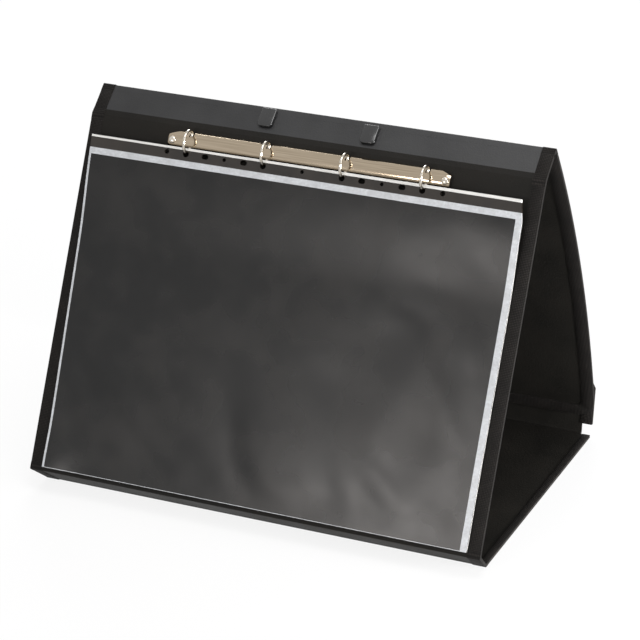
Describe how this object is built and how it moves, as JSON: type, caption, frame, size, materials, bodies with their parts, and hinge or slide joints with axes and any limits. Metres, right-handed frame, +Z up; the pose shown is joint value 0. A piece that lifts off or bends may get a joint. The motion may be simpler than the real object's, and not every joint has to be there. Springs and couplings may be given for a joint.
{
  "type": "easel binder",
  "caption": "Landscape ring binder standing as a tent-shaped table easel, with bowed cover, folding base, rear hook-and-loop flap, split rings and a pack of display sleeves.",
  "frame": {"origin": "on the table under the middle of the whole object", "axes": "+X runs along the folds to the right of someone facing the sleeves, +Y from the sleeves back to the cover, +Z up"},
  "size_m": [0.4616, 0.3394, 0.3579],
  "materials": {
    "black_grain": "fine-grained black covering film over board, satin",
    "spine_grain": "fine-grained black covering film, satin, catching the light",
    "binding_tape": "woven book-binding tape, brown-black",
    "nickel_plate": "polished nickel plate, slightly warm",
    "sleeve_film": "clear glossy film over black sheets, with a paler border",
    "handle_plastic": "glossy black moulding",
    "hook_and_loop": "black hook-and-loop pile"
  },
  "bodies": {
    "base": {"base_panel": "black_grain", "base_tape_left": "binding_tape", "base_tape_right": "binding_tape", "fold_cord_front": "black_grain", "fold_cord_rear": "black_grain"},
    "rear_flap": {"flap_panel": "black_grain", "flap_tape": "binding_tape", "hook_pad_left": "hook_and_loop", "hook_pad_right": "hook_and_loop"},
    "fore_edge": {"fore_edge_strip": "black_grain", "fore_edge_tape_left": "binding_tape", "fore_edge_tape_right": "binding_tape", "fold_cord_lower": "black_grain"},
    "ring_panel": {"ring_panel": "black_grain", "ring_panel_tape_left": "binding_tape", "ring_panel_tape_right": "binding_tape", "fold_cord_upper": "black_grain", "ring_cover_plate": "nickel_plate", "plate_rivet_left": "nickel_plate", "plate_rivet_right": "nickel_plate", "sleeve_pack": "sleeve_film"},
    "upper_rail": {"upper_rail": "nickel_plate", "upper_half_ring_1": "nickel_plate", "upper_half_ring_2": "nickel_plate", "upper_half_ring_3": "nickel_plate", "upper_half_ring_4": "nickel_plate"},
    "lower_rail": {"lower_rail": "nickel_plate", "lower_half_ring_1": "nickel_plate", "lower_half_ring_2": "nickel_plate", "lower_half_ring_3": "nickel_plate", "lower_half_ring_4": "nickel_plate"},
    "spine": {"spine_panel": "spine_grain", "spine_tape_left": "binding_tape", "spine_tape_right": "binding_tape", "handle_strap": "handle_plastic", "handle_stop_left": "handle_plastic", "handle_stop_right": "handle_plastic", "fold_cord_top": "black_grain"},
    "cover": {"cover_panel": "black_grain", "cover_tape": "binding_tape", "loop_pad_left": "hook_and_loop", "loop_pad_right": "hook_and_loop"}
  },
  "joints": [
    {"name": "fore_edge_fold", "type": "hinge", "parent": "base", "child": "fore_edge", "pos_m": [0, -0.14005, 0.0018], "axis": [1, 0, 0], "range_deg": [0, 38]},
    {"name": "panel_fold", "type": "hinge", "parent": "fore_edge", "child": "ring_panel", "pos_m": [0, -0.16548, 0.02203], "axis": [1, 0, 0], "range_deg": [0, 71]},
    {"name": "spine_fold", "type": "hinge", "parent": "ring_panel", "child": "spine", "pos_m": [0, -0.01707, 0.33459], "axis": [-1, 0, 0], "range_deg": [-114, 0]},
    {"name": "cover_fold", "type": "hinge", "parent": "spine", "child": "cover", "pos_m": [0, 0.00764, 0.35569], "axis": [-1, 0, 0], "range_deg": [-187, 0]},
    {"name": "flap_fold", "type": "hinge", "parent": "base", "child": "rear_flap", "pos_m": [0, 0.16025, 0.0018], "axis": [1, 0, 0], "range_deg": [-82, 0]},
    {"name": "ring_open", "type": "hinge", "parent": "ring_panel", "child": "lower_rail", "pos_m": [0, -0.02731, 0.32373], "axis": [1, 0, 0], "range_deg": [0, 12]},
    {"name": "ring_open_upper", "type": "hinge", "parent": "ring_panel", "child": "upper_rail", "pos_m": [0, -0.02731, 0.32373], "axis": [1, 0, 0], "range_deg": [-12, 0]}
  ],
  "couplings": [
    {"joint": "ring_open_upper", "follows": "ring_open", "ratio": -1}
  ]
}
